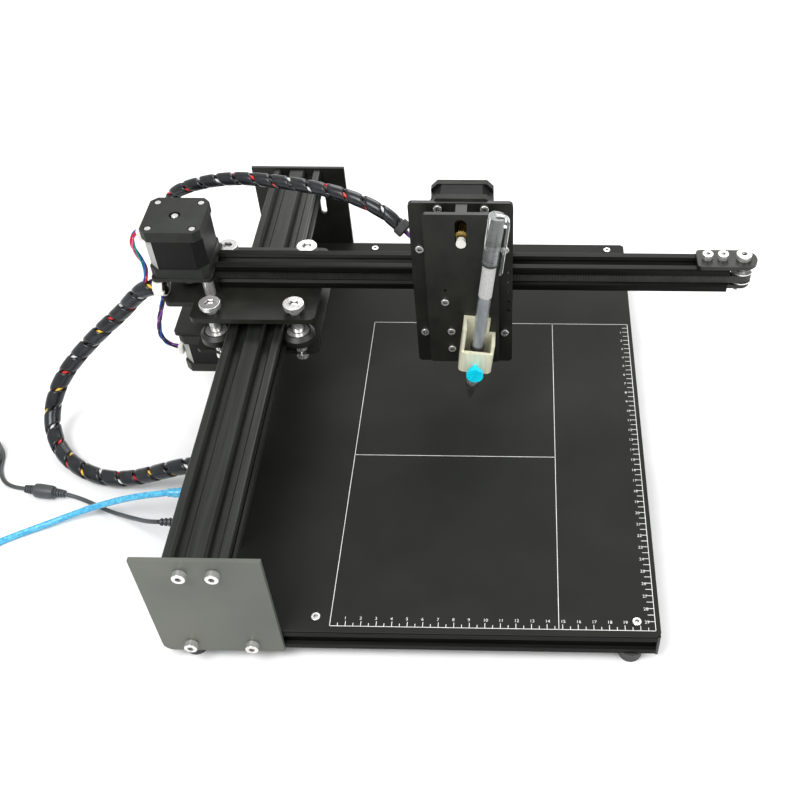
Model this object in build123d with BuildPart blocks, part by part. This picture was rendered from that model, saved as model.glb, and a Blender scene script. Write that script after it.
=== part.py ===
from build123d import *
import math
import os

# Two-axis pen plotter: a V-slot beam over a sheet bed carries a sliding cross arm with a pen lift.
# Millimetres, +Z up, +X to the right, +Y away from the operator. Machine coordinates count from the
# paper's front left corner on the bed's top face; at() moves them to the row frame.
PAPER_X, PAPER_Y, BED_TOP = -73.45, -201.5, 32.0

SLOT = 20.0            # side of one extrusion unit
BORE_R = 2.55          # end bore of an extrusion
PLATE = 3.0            # sheet plates
BED = (-109.5, 213.0, -3.5, 405.0, 2.0)      # left, right, front, rear, thickness
CROSS_RIGHT = 211.0    # right end of the cross beams
FRONT_Y, REAR_Y = -3.5, 406.5                # beam ends, the end plates' inner faces
CROSS_YS = (6.5, 396.5)
BEAM_X, BEAM_Z = -70.5, 65.0                 # centre of the Y beam
END_LEFT, END_RIGHT = -109.5, -30.5
END_LOW, END_HIGH = -21.0, 76.5
FOOT_H = 10.0

CAR_Y = 243.0          # centre of the Y carriage, of the X arm and of the X motor
CAR_LOW, CAR_HIGH = 83.0, 87.0
AXLE = 30.0            # half the wheel spacing across the beam
AXLE_Y, AXLE_MID = 33.5, 240.0                # half the wheel spacing along the beam, its centre
WHEEL_R, WHEEL_RIM, WHEEL_HALF = 11.8, 2.4, 5.1
BEARING_R, PIN_R = 8.0, 2.5
WHEEL_CLEAR = 0.05
NEMA = 42.3
SCREW_PITCH = 31.0     # motor face screws
PULLEY_R, BELT_IN, BELT_OUT = 6.1, 6.5, 7.6
MOTOR_X = -122.6
YMOTOR = (-117.0, 13.0, 49.0)                # x, bottom, top
XMOTOR_LOW, XMOTOR_HIGH = 104.0, 143.7
ARM_Z, ARM_LEFT, ARM_RIGHT = 97.0, -100.0, 270.0
IDLER_X = 280.3

XC_LEFT, XC_RIGHT, XC_LOW, XC_HIGH = 45.0, 115.0, 33.0, 174.0
XC_FRONT, XC_BACK = 216.0, 219.0
XREAR_FRONT, XREAR_BACK = 259.0, 262.0
XWHEEL_X, XWHEEL_Z = (65.0, 97.0), (ARM_Z - 20, ARM_Z + 20)
STAND_X, STAND_Z = (51.2, 109.5), (62.0, 137.0)
ZMOTOR = (80.5, 154.35, 22.0)                # x, z, depth
LIFT_X, LIFT_W, LIFT_LOW, LIFT_HIGH = 80.5, 50.0, 44.0, 174.0
LIFT_FRONT, LIFT_BACK = 203.0, 206.0
MODULE, TEETH = 0.5, 16
PITCH = math.pi * MODULE
SLOT_Z, SLOT_W, SLOT_L = 158.5, 8.0, 23.0
PEN_Y, PEN_TILT, PEN_R = 194.0, 7.4, 4.6
PEN_TIP = (83.5, 15.0)
HOLD_LOW, HOLD_HIGH, HOLD_RIGHT = 35.0, 73.0, 60.0             # pen holder, measured along the pen from its tip
KNOB_ALONG = 41.0

FLOOR = -BED_TOP
USB_R, DC_R, BASE_LOOM_R, PEN_LOOM_R = 2.4, 1.6, 6.2, 4.8


def at(x, y, z):
    return (PAPER_X + x, PAPER_Y + y, BED_TOP + z)


def flat(x, y, z):
    return Plane(origin=at(x, y, z), x_dir=(1, 0, 0), z_dir=(0, 0, 1))


def facing(x, y, z):
    """Local x is +X, local y is +Z, and the normal points to the front."""
    return Plane(origin=at(x, y, z), x_dir=(1, 0, 0), z_dir=(0, -1, 0))


def across(x, y, z):
    return Plane(origin=at(x, y, z), x_dir=(0, 1, 0), z_dir=(1, 0, 0))


def keep(piece, label):
    piece.part.label = label
    export_step(piece.part, f"parts/{label}.step")
    print(label, round(piece.part.volume, 1))


def slab(low, high, corner=0.0):
    """A plain block between two machine corners, with its upright edges rounded."""
    size = [b - a for a, b in zip(low, high)]
    with BuildPart() as block:
        with BuildSketch(flat((low[0] + high[0]) / 2, (low[1] + high[1]) / 2, low[2])):
            if corner:
                RectangleRounded(size[0], size[1], corner)
            else:
                Rectangle(size[0], size[1])
        extrude(amount=size[2])
    return block.part


def slot_outline(turn, shift=0.0):
    """One V-slot channel in the side of a unit, turned about the unit's centre."""
    half = SLOT / 2
    right = [(4.6, half + 0.01), (3.1, 8.2), (5.5, 8.2), (5.5, 6.6), (2.8, 3.9)]
    points = right + [(-x, y) for x, y in reversed(right)]
    c, s = math.cos(math.radians(turn)), math.sin(math.radians(turn))
    return [(shift + x * c - y * s, x * s + y * c) for x, y in points]


def extrusion(plane, length, units=1):
    """A V-slot bar of one unit, or of two side by side along the plane's x."""
    centres = [(i - (units - 1) / 2) * SLOT for i in range(units)]
    with BuildPart() as bar:
        with BuildSketch(plane):
            RectangleRounded(SLOT * units, SLOT, 1.2)
            for i, c in enumerate(centres):
                sides = [0, 180] + [90] * (i == 0) + [270] * (i == units - 1)
                for turn in sides:
                    Polygon(*slot_outline(turn, c), align=None, mode=Mode.SUBTRACT)
                with Locations((c, 0)):
                    Circle(BORE_R, mode=Mode.SUBTRACT)
            if units == 2:
                Rectangle(5, 11, mode=Mode.SUBTRACT)
        extrude(amount=length)
    return bar.part


def socket_screw(plane, head_r, head_h, shank_r, shank, socket=True):
    """A cap screw with its head on the plane, its shank going down the normal."""
    with BuildPart() as screw:
        with BuildSketch(plane):
            Circle(head_r)
        extrude(amount=head_h)
        fillet(screw.edges().sort_by(Axis(plane.origin, plane.z_dir))[-1:], 0.4)
        with BuildSketch(plane):
            Circle(shank_r)
        extrude(amount=-shank)
        if socket:
            with BuildSketch(plane.offset(head_h)):
                RegularPolygon(head_r * 0.5, 6)
            extrude(amount=-head_h * 0.6, mode=Mode.SUBTRACT)
    return screw.part


def motor(plane, depth, shaft_hole=4.0):
    """A stepper motor body standing on the plane: mounting cap, laminated core and rear cap."""
    cap = 8.0 if depth > 30 else 5.0
    with BuildPart() as body:
        for low, high, size, corner in (
            (0, cap, NEMA, 4.5), (cap, depth - cap, NEMA - 0.6, 7.0), (depth - cap, depth, NEMA, 4.5)
        ):
            with BuildSketch(plane.offset(low)):
                outline = Rectangle(size, size)
                chamfer(outline.vertices(), corner)
            extrude(amount=high - low)
        with BuildSketch(plane.offset(depth)):
            Circle(shaft_hole)
        extrude(amount=-2.5, mode=Mode.SUBTRACT)
        with BuildSketch(plane.offset(depth)):
            with GridLocations(SCREW_PITCH, SCREW_PITCH, 2, 2):
                Circle(2.9)
        extrude(amount=-1.2, mode=Mode.SUBTRACT)
        with BuildSketch(plane):
            Circle(3.0)
        extrude(amount=6, mode=Mode.SUBTRACT)
    return body.part


def wheel(plane):
    """A V-wheel centred on the plane, bored to turn on its bearings."""
    side_r = WHEEL_R - (WHEEL_HALF - WHEEL_RIM)
    with BuildPart() as roller:
        with BuildSketch(plane.offset(-WHEEL_HALF)):
            Circle(WHEEL_R)
        extrude(amount=2 * WHEEL_HALF)
        rims = roller.edges().filter_by(GeomType.CIRCLE)
        chamfer(rims, WHEEL_R - side_r)
        with BuildSketch(plane.offset(-WHEEL_HALF)):
            Circle(BEARING_R + WHEEL_CLEAR)
        extrude(amount=2 * WHEEL_HALF, mode=Mode.SUBTRACT)
    return roller.part


def ring(plane, outer, inner, height):
    with BuildPart() as tube:
        with BuildSketch(plane):
            Circle(outer)
            Circle(inner, mode=Mode.SUBTRACT)
        extrude(amount=height)
    return tube.part


def post(plane, radius, height):
    with BuildPart() as rod:
        with BuildSketch(plane):
            Circle(radius)
        extrude(amount=height)
    return rod.part


def group(label, pieces):
    """Separate solids that are one named node."""
    with BuildPart() as node:
        for piece in pieces:
            add(piece)
    keep(node, label)


# --- base -------------------------------------------------------------------------------------
def base():
    left, right, front, rear, thick = BED
    screws = [(-9.4, y) for y in CROSS_YS] + [(198.0, y) for y in CROSS_YS]
    with BuildPart() as bed_board:
        with BuildSketch(flat((left + right) / 2, (front + rear) / 2, -thick)):
            sheet = Rectangle(right - left, rear - front)
            chamfer(sheet.vertices(), 2.5)
        extrude(amount=thick)
        for x, y in screws:
            with BuildSketch(flat(x, y, -thick)):
                Circle(1.7)
            extrude(amount=thick, mode=Mode.SUBTRACT)
    keep(bed_board, "bed_board")

    length = CROSS_RIGHT - left
    bars = [extrusion(across(left, y, -thick - SLOT / 2), length) for y in CROSS_YS]
    group("cross_beams", bars)
    caps = []
    for x0 in (left - 2.0, CROSS_RIGHT):
        for y in CROSS_YS:
            low = (x0, y - SLOT / 2, -thick - SLOT)
            caps.append(slab(low, (x0 + 2.0, y + SLOT / 2, -thick - 0.1), 0.6))
    group("beam_end_caps", caps)

    beam = Plane(origin=at(BEAM_X, FRONT_Y, BEAM_Z), x_dir=(1, 0, 0), z_dir=(0, 1, 0))
    with BuildPart() as y_beam:
        add(extrusion(beam, REAR_Y - FRONT_Y, 2))
    keep(y_beam, "y_beam")

    upper = [(BEAM_X - 10, BEAM_Z), (BEAM_X + 10, BEAM_Z)]
    lower = [(-89.8, -12.0), (-50.0, -12.0)]
    wide, tall = END_RIGHT - END_LEFT, END_HIGH - END_LOW
    middle_x, middle_z = (END_LEFT + END_RIGHT) / 2, (END_LOW + END_HIGH) / 2
    for label, y in (("front_end_plate", FRONT_Y), ("rear_end_plate", REAR_Y + PLATE)):
        with BuildPart() as end_plate:
            with BuildSketch(facing(middle_x, y, middle_z)):
                outline = Rectangle(wide, tall)
                corners = outline.vertices().sort_by(lambda v: v.Y + v.X)
                fillet(corners[:1], 7.0)
                fillet(corners[1:], 2.0)
                with Locations(*[(x - middle_x, z - middle_z) for x, z in upper + lower]):
                    Circle(2.6, mode=Mode.SUBTRACT)
                if y > CAR_Y:
                    with Locations((-52.5 - middle_x, 39.5 - middle_z)):
                        SlotOverall(18, 5, rotation=90, mode=Mode.SUBTRACT)
            extrude(amount=PLATE)
        keep(end_plate, label)

    heads = []
    for x, z in upper + lower:
        heads.append(socket_screw(facing(x, FRONT_Y - PLATE, z), 4.2, 5.0, 2.5, 7.0))
        back = Plane(origin=at(x, REAR_Y + PLATE, z), x_dir=(1, 0, 0), z_dir=(0, 1, 0))
        heads.append(socket_screw(back, 4.2, 5.0, 2.5, 7.0))
    for x, y in screws:
        heads.append(socket_screw(flat(x, y, 0), 3.0, 1.4, 1.5, 6.0))
    group("frame_screws", heads)

    feet = []
    for x in (-92.5, 196.0):
        for y in (CROSS_YS[0] - 2.5, CROSS_YS[1] + 2.5):
            with BuildPart() as foot:
                with BuildSketch(flat(x, y, FLOOR)):
                    Circle(7.5)
                with BuildSketch(flat(x, y, FLOOR + FOOT_H)):
                    Circle(9.0)
                loft()
            feet.append(foot.part)
    group("rubber_feet", feet)


def control_box():
    left, right, front, rear, top = -93.0, -68.0, 60.0, 145.0, 40.0
    ports = [(104.0, 5.2, 6.5), (77.7, 5.2, 6.5), (130.0, 6.4, 6.6)]
    with BuildPart() as box:
        add(slab((left, front, 0), (right, rear, top - 3), 2.0))
        add(slab((left + 2, front + 2, 1.0), (right - 2, rear - 2, top), 1.0), mode=Mode.SUBTRACT)
        for y, r, z in ports:
            with BuildSketch(across(left - 1, y, z)):
                Circle(r)
            extrude(amount=4, mode=Mode.SUBTRACT)
    with BuildPart() as lid:
        add(slab((left, front, top - 3), (right, rear, top), 2.0))
        with BuildSketch(flat((left + right) / 2, (front + rear) / 2, top)):
            with GridLocations(0, 9, 1, 6):
                SlotOverall(15, 3)
        extrude(amount=-3, mode=Mode.SUBTRACT)
    both = Compound(children=[box.part, lid.part], label="control_box")
    export_step(both, "parts/control_box.step")
    board_low = (left + 3, front + 3, 1.0)
    pieces = [slab(board_low, (right - 3, rear - 3, 2.6))]
    pieces.append(slab((left + 3, 98, 2.6), (left + 15, 110, 12.0)))
    pieces.append(slab((left + 3, 73.2, 2.6), (left + 14, 82.2, 12.0)))
    for y in (85.0, 112.0):
        pieces.append(slab((left + 12, y, 2.6), (right - 4, y + 10, 16.0)))
    group("controller_board", pieces)


# --- Y carriage -------------------------------------------------------------------------------
def belt_strip(plane, points, width, thick):
    with BuildPart() as strip:
        with BuildSketch(plane):
            with BuildLine():
                FilletPolyline(*points, radius=BELT_IN)
            trace(line_width=thick)
        extrude(amount=width / 2, both=True)
    return strip.part


def y_carriage():
    xs = (BEAM_X - AXLE, BEAM_X + AXLE)
    ys = (AXLE_MID - AXLE_Y, AXLE_MID + AXLE_Y)
    places = [(x, y) for x in xs for y in ys]
    with BuildPart() as top_plate:
        add(slab((-115.5, 198, CAR_LOW), (-25.5, 282, CAR_HIGH), 5.0))
        add(slab((-137.5, 216, CAR_LOW), (-110.0, 270, CAR_HIGH), 4.0))
        for x, y in places:
            with BuildSketch(flat(x, y, CAR_LOW)):
                Circle(PIN_R + 0.1)
            extrude(amount=CAR_HIGH - CAR_LOW, mode=Mode.SUBTRACT)
    keep(top_plate, "y_carriage_plate")
    mx, low, high = YMOTOR
    with BuildPart() as motor_plate:
        add(slab((-118.5, 204, high), (-28.0, 283, high + PLATE), 4.0))
        add(slab((mx - 23.0, CAR_Y - 20.5, high), (mx + 10.0, CAR_Y + 20.5, high + PLATE), 3.0))
        for x, y in places:
            with BuildSketch(flat(x, y, high)):
                Circle(PIN_R + 0.1)
            extrude(amount=PLATE, mode=Mode.SUBTRACT)
        with BuildSketch(flat(mx, CAR_Y, high)):
            Circle(11)
        extrude(amount=PLATE, mode=Mode.SUBTRACT)
    keep(motor_plate, "y_motor_plate")

    axles = []
    for x, y in places:
        pin = flat(x, y, high - 4)
        axles.append(post(pin, PIN_R, CAR_HIGH + 5 - high + 4))
        axles.append(socket_screw(flat(x, y, CAR_HIGH + 5), 7.6, 3.5, 4.2, 5.0))
        axles.append(ring(flat(x, y, high - 4), 4.4, PIN_R, 4.0))
        axles.append(ring(flat(x, y, high + PLATE), 4.0, PIN_R, BEAM_Z - 5 - high - PLATE))
        axles.append(ring(flat(x, y, BEAM_Z - 5), BEARING_R, PIN_R, 10.0))
        axles.append(ring(flat(x, y, BEAM_Z + 5), 4.0, PIN_R, CAR_LOW - BEAM_Z - 5))
    group("y_axles", axles)
    for side, x in zip(("left", "right"), xs):
        for end, y in zip(("front", "rear"), ys):
            with BuildPart() as roller:
                add(wheel(flat(x, y, BEAM_Z)))
            keep(roller, f"y_wheel_{end}_{side}")

    with BuildPart() as y_motor:
        under = Plane(origin=at(mx, CAR_Y, high), x_dir=(1, 0, 0), z_dir=(0, 0, -1))
        add(motor(under, high - low))
    keep(y_motor, "y_motor")
    with BuildPart() as y_pulley:
        add(post(flat(mx, CAR_Y, high - 5), 2.5, 28.0))
        add(ring(flat(mx, CAR_Y, BEAM_Z - 4.5), PULLEY_R, 2.5, 9.0))
        add(ring(flat(mx, CAR_Y, BEAM_Z - 5.5), 7.6, 2.5, 1.0))
        add(ring(flat(mx, CAR_Y, BEAM_Z + 4.5), 7.6, 2.5, 1.0))
    keep(y_pulley, "y_motor_pulley")
    middle = (BELT_IN + BELT_OUT) / 2
    slot_x = BEAM_X - SLOT + 3.2
    loop = [
        (slot_x, CAR_Y - 19), (mx + 5, CAR_Y - middle), (mx - middle, CAR_Y - middle),
        (mx - middle, CAR_Y + middle), (mx + 5, CAR_Y + middle), (slot_x, CAR_Y + 19),
    ]
    with BuildPart() as y_belt_loop:
        add(belt_strip(flat(0, 0, BEAM_Z), loop, 6.0, BELT_OUT - BELT_IN))
    keep(y_belt_loop, "y_belt_loop")
    y_low, y_high = FRONT_Y + 6, REAR_Y - 6
    group("y_belt", [slab((slot_x + 1.1, y_low, BEAM_Z - 3), (slot_x + 2.3, y_high, BEAM_Z + 3))])


def x_drive():
    with BuildPart() as motor_plate:
        low = XMOTOR_LOW - PLATE
        add(slab((MOTOR_X - 21.5, CAR_Y - 21.5, low), (ARM_LEFT - 0.2, CAR_Y + 21.5, XMOTOR_LOW), 3.0))
        with BuildSketch(flat(MOTOR_X, CAR_Y, low)):
            Circle(11)
        extrude(amount=PLATE, mode=Mode.SUBTRACT)
    keep(motor_plate, "x_motor_plate")
    pillars = []
    for y in (CAR_Y - 17.5, CAR_Y + 17.5):
        pillars.append(post(flat(-104.8, y, CAR_HIGH), 4.0, low - CAR_HIGH))
    with BuildPart() as x_motor:
        add(motor(flat(MOTOR_X, CAR_Y, XMOTOR_LOW), XMOTOR_HIGH - XMOTOR_LOW))
    keep(x_motor, "x_motor")
    with BuildPart() as x_pulley:
        add(post(flat(MOTOR_X, CAR_Y, ARM_Z - 8), 2.5, 20.0))
        add(ring(flat(MOTOR_X, CAR_Y, ARM_Z - 4), PULLEY_R, 2.5, 8.0))
        add(ring(flat(MOTOR_X, CAR_Y, ARM_Z - 8), 7.6, 2.5, 4.0))
    keep(x_pulley, "x_motor_pulley")
    with BuildPart() as arm:
        add(extrusion(across(ARM_LEFT, CAR_Y, ARM_Z), ARM_RIGHT - ARM_LEFT))
    keep(arm, "x_arm")

    top, low = ARM_Z + SLOT / 2, ARM_Z - 5.5
    with BuildPart() as bracket:
        for z0, left, width in ((top, 247.0, SLOT), (low - PLATE, ARM_RIGHT, 14.0)):
            with BuildSketch(flat((left + IDLER_X) / 2, CAR_Y, z0)):
                strap = Rectangle(IDLER_X - left, width)
                if left < ARM_RIGHT:
                    fillet(strap.vertices().sort_by(Axis.X)[:2], 3.0)
                with Locations(((IDLER_X - left) / 2, 0)):
                    Circle(width / 2)
                    Circle(PIN_R + 0.1, mode=Mode.SUBTRACT)
            extrude(amount=PLATE)
        add(slab((ARM_RIGHT, CAR_Y - 4.5, low - PLATE), (ARM_RIGHT + 1.5, CAR_Y + 4.5, top)))
    keep(bracket, "idler_bracket")
    top, low = top + PLATE, low - PLATE
    screws = [socket_screw(flat(IDLER_X, CAR_Y, top), 5.5, 4.5, PIN_R, top - low)]
    screws.append(ring(flat(IDLER_X, CAR_Y, low - 4), 4.4, PIN_R, 4.0))
    screws.append(post(flat(IDLER_X, CAR_Y, low - 4), PIN_R, 4.0))
    for z0, h in ((low + PLATE, 1.0), (ARM_Z + 4.5, 5.5)):
        screws.append(ring(flat(IDLER_X, CAR_Y, z0), 4.0, PIN_R, h))
    for x in (254.4, 265.4):
        screws.append(socket_screw(flat(x, CAR_Y, top), 3.9, 4.4, 2.0, 0.5))
    group("carriage_fasteners", pillars + screws)
    with BuildPart() as idler:
        add(ring(flat(IDLER_X, CAR_Y, ARM_Z - 4.4), PULLEY_R, PIN_R + 0.05, 8.8))
        for z0 in (ARM_Z - 4.4, ARM_Z + 3.5):
            add(ring(flat(IDLER_X, CAR_Y, z0), 8.3, PULLEY_R - 0.1, 0.9))
    keep(idler, "x_idler_pulley")
    with BuildPart() as x_belt:
        middle_x, span = (MOTOR_X + IDLER_X) / 2, IDLER_X - MOTOR_X
        with BuildSketch(flat(middle_x, CAR_Y, ARM_Z)):
            SlotCenterToCenter(span, 2 * BELT_OUT)
            SlotCenterToCenter(span, 2 * BELT_IN, mode=Mode.SUBTRACT)
        extrude(amount=3, both=True)
    keep(x_belt, "x_belt")


# --- X carriage -------------------------------------------------------------------------------
def x_carriage():
    middle = ((XC_LEFT + XC_RIGHT) / 2, (XC_LOW + XC_HIGH) / 2)
    corners = [(x - middle[0], z - middle[1]) for x in STAND_X for z in STAND_Z]
    axles = [(x - middle[0], z - middle[1]) for x in XWHEEL_X for z in XWHEEL_Z]
    clamp_y = CAR_Y - SLOT / 2 - 0.4
    half = SCREW_PITCH / 2
    motor_screws = [(ZMOTOR[0] + i * half, ZMOTOR[1] + k * half) for i in (-1, 1) for k in (-1, 1)]
    with BuildPart() as front_plate:
        with BuildSketch(facing(middle[0], XC_BACK, middle[1])):
            RectangleRounded(XC_RIGHT - XC_LEFT, XC_HIGH - XC_LOW, 3)
            with Locations(*corners):
                Circle(1.6, mode=Mode.SUBTRACT)
            with Locations(*axles):
                Circle(PIN_R, mode=Mode.SUBTRACT)
            with Locations((ZMOTOR[0] - middle[0], ZMOTOR[1] - middle[1])):
                Circle(11, mode=Mode.SUBTRACT)
            with Locations([(x - middle[0], z - middle[1]) for x, z in motor_screws]):
                Circle(1.6, mode=Mode.SUBTRACT)
            with Locations((XC_RIGHT - 7 - middle[0], -4)):
                with GridLocations(8.5, 8.5, 2, 5):
                    Circle(1.1, mode=Mode.SUBTRACT)
        extrude(amount=XC_BACK - XC_FRONT)
        add(slab((77.2, LIFT_BACK + 0.4, 169.0), (84.8, XC_FRONT, 173.5)))
        add(slab((76.0, XC_BACK, ARM_Z - 6), (86.0, clamp_y, ARM_Z + 6)))
        add(slab((77.0, clamp_y, ARM_Z - 2.5), (85.0, CAR_Y - BELT_OUT - 0.05, ARM_Z + 2.5)))
    keep(front_plate, "x_carriage_plate")
    low, high = XC_LOW + 21, STAND_Z[1] + 5
    with BuildPart() as rear_plate:
        with BuildSketch(facing(middle[0], XREAR_BACK, (low + high) / 2)):
            RectangleRounded(XC_RIGHT - XC_LEFT, high - low, 3)
            with Locations(*[(x, z + middle[1] - (low + high) / 2) for x, z in corners]):
                Circle(1.6, mode=Mode.SUBTRACT)
            with Locations(*[(x, z + middle[1] - (low + high) / 2) for x, z in axles]):
                Circle(PIN_R, mode=Mode.SUBTRACT)
        extrude(amount=XREAR_BACK - XREAR_FRONT)
    keep(rear_plate, "x_rear_plate")
    stands = []
    for x in STAND_X:
        for z in STAND_Z:
            stands.append(post(facing(x, XREAR_FRONT, z), 3.0, XREAR_FRONT - XC_BACK))
            stands.append(socket_screw(facing(x, XC_FRONT, z), 3.0, 1.8, 1.5, 2.8))
            back = Plane(origin=at(x, XREAR_BACK, z), x_dir=(1, 0, 0), z_dir=(0, 1, 0))
            stands.append(socket_screw(back, 3.0, 1.8, 1.5, 2.8))
    for x, z in motor_screws:
        stands.append(socket_screw(facing(x, XC_FRONT, z), 2.9, 2.0, 1.5, 2.8))
    group("x_standoffs", stands)
    pins = []
    for x in XWHEEL_X:
        for z in XWHEEL_Z:
            pins.append(post(facing(x, XREAR_BACK + 4, z), PIN_R, XREAR_BACK + 4 - XC_FRONT))
            pins.append(ring(facing(x, XREAR_BACK + 4, z), 4.4, PIN_R, 4.0))
            pins.append(ring(facing(x, XREAR_FRONT, z), 4.0, PIN_R, XREAR_FRONT - CAR_Y - 5))
            pins.append(ring(facing(x, CAR_Y + 5, z), BEARING_R, PIN_R, 10.0))
            pins.append(ring(facing(x, CAR_Y - 5, z), 4.0, PIN_R, CAR_Y - 5 - XC_BACK))
    group("x_axles", pins)
    for side, x in zip(("left", "right"), XWHEEL_X):
        for level, z in zip(("lower", "upper"), XWHEEL_Z):
            with BuildPart() as roller:
                add(wheel(facing(x, CAR_Y, z)))
            keep(roller, f"x_wheel_{level}_{side}")
    x, z, depth = ZMOTOR
    back = Plane(origin=at(x, XC_BACK, z), x_dir=(1, 0, 0), z_dir=(0, 1, 0))
    with BuildPart() as z_motor:
        add(motor(back, depth))
    keep(z_motor, "z_motor")
    with BuildPart() as rail:
        add(slab((LIFT_X - 4.5, XC_FRONT - 6, 46.0), (LIFT_X + 4.5, XC_FRONT, 131.0)))
        for side in (-1, 1):
            with BuildSketch(flat(LIFT_X + side * 4.5, XC_FRONT - 3.4, 46.0)):
                Rectangle(1.6, 1.8)
            extrude(amount=85, mode=Mode.SUBTRACT)
    keep(rail, "z_rail")


def tooth_points(root, tip, count):
    """The outline of a spur gear with straight-sided teeth, thinned for backlash."""
    points = []
    for i in range(count):
        middle = 2 * math.pi * i / count
        for radius, share in ((root, -0.30), (tip, -0.11), (tip, 0.11), (root, 0.30)):
            angle = middle + share * 2 * math.pi / count
            points.append((radius * math.cos(angle), radius * math.sin(angle)))
    return points


def z_drive():
    pitch_r = MODULE * TEETH / 2
    x, z, _ = ZMOTOR
    with BuildPart() as pinion:
        with BuildSketch(facing(x, XC_FRONT - 1.0, z)):
            Polygon(*tooth_points(pitch_r - 0.68, pitch_r + 0.38, TEETH), align=None)
        extrude(amount=8.0)
        add(post(facing(x, XC_BACK + 5, z), 2.5, 10.0))
    keep(pinion, "z_pinion")
    left = x - pitch_r
    low, count = z - 8 * PITCH, 16
    outline = [(left - 4.5, low)]
    for i in range(count):
        gap = low + i * PITCH
        outline += [(left - 0.62, gap), (left - 0.62, gap + 0.44), (left + 0.34, gap + 0.70)]
        outline += [(left + 0.34, gap + PITCH - 0.70), (left - 0.62, gap + PITCH - 0.44)]
    outline += [(left - 0.62, low + count * PITCH), (left - 4.5, low + count * PITCH)]
    with BuildPart() as rack:
        with BuildSketch(facing(0, XC_FRONT - 1.6, 0)):
            Polygon(*outline, align=None)
        extrude(amount=XC_FRONT - 1.6 - LIFT_BACK)
    keep(rack, "z_rack")


def lift():
    middle_z = (LIFT_LOW + LIFT_HIGH) / 2
    screw_places = [(-12.6, 101.0), (12.6, 101.0), (-9.0, 74.0), (9.0, 74.0), (-9.0, 57.5), (9.0, 57.5)]
    with BuildPart() as plate:
        with BuildSketch(facing(LIFT_X, LIFT_BACK, middle_z)):
            RectangleRounded(LIFT_W, LIFT_HIGH - LIFT_LOW, 2)
            with Locations((0, SLOT_Z - middle_z)):
                SlotOverall(SLOT_L, SLOT_W, rotation=90, mode=Mode.SUBTRACT)
            with Locations(*[(x, z - middle_z) for x, z in screw_places]):
                Circle(1.6, mode=Mode.SUBTRACT)
            with Locations((-12.0, 111.0 - middle_z), (12.0, 111.0 - middle_z)):
                Circle(1.1, mode=Mode.SUBTRACT)
        extrude(amount=LIFT_BACK - LIFT_FRONT)
    keep(plate, "lift_plate")
    block = slab((LIFT_X - 10, LIFT_BACK, 56.0), (LIFT_X + 10, XC_FRONT - 1.4, 96.0), 0.8)
    gap = slab((LIFT_X - 4.8, XC_FRONT - 6.3, 55.0), (LIFT_X + 4.8, XC_FRONT, 97.0))
    group("rail_block", [block.cut(gap)])
    heads = []
    for x, z in screw_places:
        heads.append(socket_screw(facing(LIFT_X + x, LIFT_FRONT, z), 2.8, 1.6, 1.5, 3.0))
    group("lift_plate_screws", heads)
    slot_low = SLOT_Z - SLOT_L / 2 + SLOT_W / 2
    group("stop_bush", [post(facing(ZMOTOR[0], LIFT_BACK, slot_low), 3.4, LIFT_BACK - LIFT_FRONT + 0.8)])


def pen_line(along, y=PEN_Y):
    """The pen's own plane at a distance up from its tip, with its normal up the barrel."""
    s, c = math.sin(math.radians(PEN_TILT)), math.cos(math.radians(PEN_TILT))
    x, z = PEN_TIP[0] + along * s, PEN_TIP[1] + along * c
    return Plane(origin=at(x, y, z), x_dir=(c, 0, -s), z_dir=(s, 0, c))


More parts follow.
